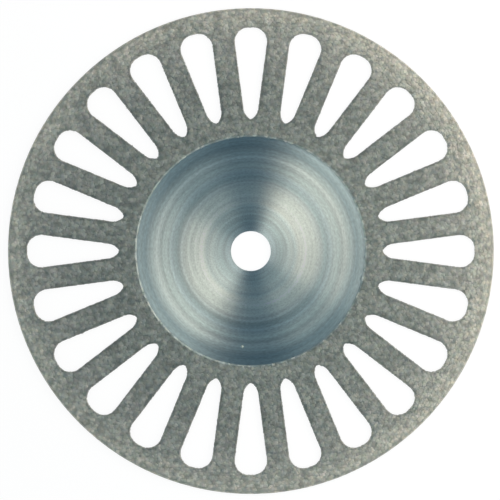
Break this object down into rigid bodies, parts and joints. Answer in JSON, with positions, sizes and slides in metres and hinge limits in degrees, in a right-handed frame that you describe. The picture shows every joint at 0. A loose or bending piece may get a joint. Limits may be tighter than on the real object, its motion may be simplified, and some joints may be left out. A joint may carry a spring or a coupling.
{
  "type": "diamond cutting disc",
  "caption": "Thin steel cutting disc with a bare turned hub, a small centre bore and a diamond-plated ring pierced by tapered cooling slots.",
  "frame": {"origin": "centre of the bore, halfway through the disc's thickness", "axes": "+Z along the bore's axis, +X along the middle line of one slot"},
  "size_m": [0.022, 0.022, 0.0002],
  "materials": {
    "spring_steel": "bare spring steel with fine concentric turning marks",
    "diamond_plating": "matt grey electroplated nickel packed with diamond grit of about 0.1 mm"
  },
  "bodies": {
    "root": {"steel_blank": "spring_steel", "diamond_coating": "diamond_plating"}
  },
  "joints": []
}
